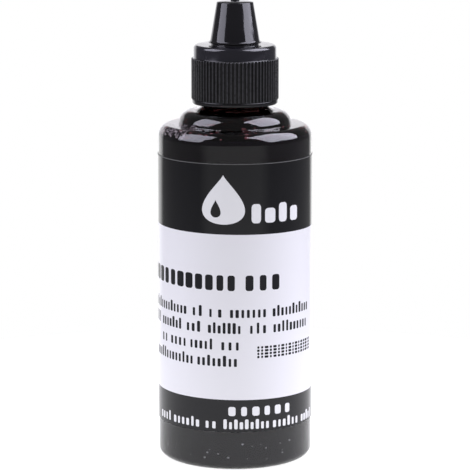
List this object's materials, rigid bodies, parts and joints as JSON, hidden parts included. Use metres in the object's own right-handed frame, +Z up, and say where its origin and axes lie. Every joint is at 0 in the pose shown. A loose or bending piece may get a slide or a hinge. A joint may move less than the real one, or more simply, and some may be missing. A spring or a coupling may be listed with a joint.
{
  "type": "ink bottle",
  "caption": "Clear cylindrical refill bottle of dark ink with a printed wrap, a ribbed screw cap and a conical spout that rises round a plug pin to open.",
  "frame": {"origin": "centre of the standing ring, on the surface the bottle stands on", "axes": "+Z up along the bottle's axis, -Y towards the front of the wrap, +X to the right of it"},
  "size_m": [0.041, 0.041, 0.1228],
  "materials": {
    "clear_pet": "gloss",
    "ink": "gloss",
    "wrap_film": "satin",
    "cap_black": "gloss",
    "liner_foam": "matte",
    "spout_black": "gloss"
  },
  "bodies": {
    "bottle_body": {"bottle": "clear_pet", "ink_fill": "ink", "wrap_label": "wrap_film"},
    "liner": {"cap_liner": "liner_foam"},
    "cap": {"screw_cap": "cap_black"},
    "spout": {"twist_spout": "spout_black"}
  },
  "joints": [
    {"name": "cap_rise", "type": "slide", "parent": "bottle_body", "child": "liner", "axis": [0, 0, 1], "range_m": [0, 0.01588]},
    {"name": "cap_turn", "type": "hinge", "parent": "liner", "child": "cap", "pos_m": [0, 0, 0.1092], "axis": [0, 0, 1], "range_deg": [0, 1800]},
    {"name": "spout_lift", "type": "slide", "parent": "cap", "child": "spout", "axis": [0, 0, 1], "range_m": [0, 0.003]}
  ],
  "couplings": [
    {"joint": "cap_rise", "follows": "cap_turn", "m_per_rad": 0.00050532}
  ]
}
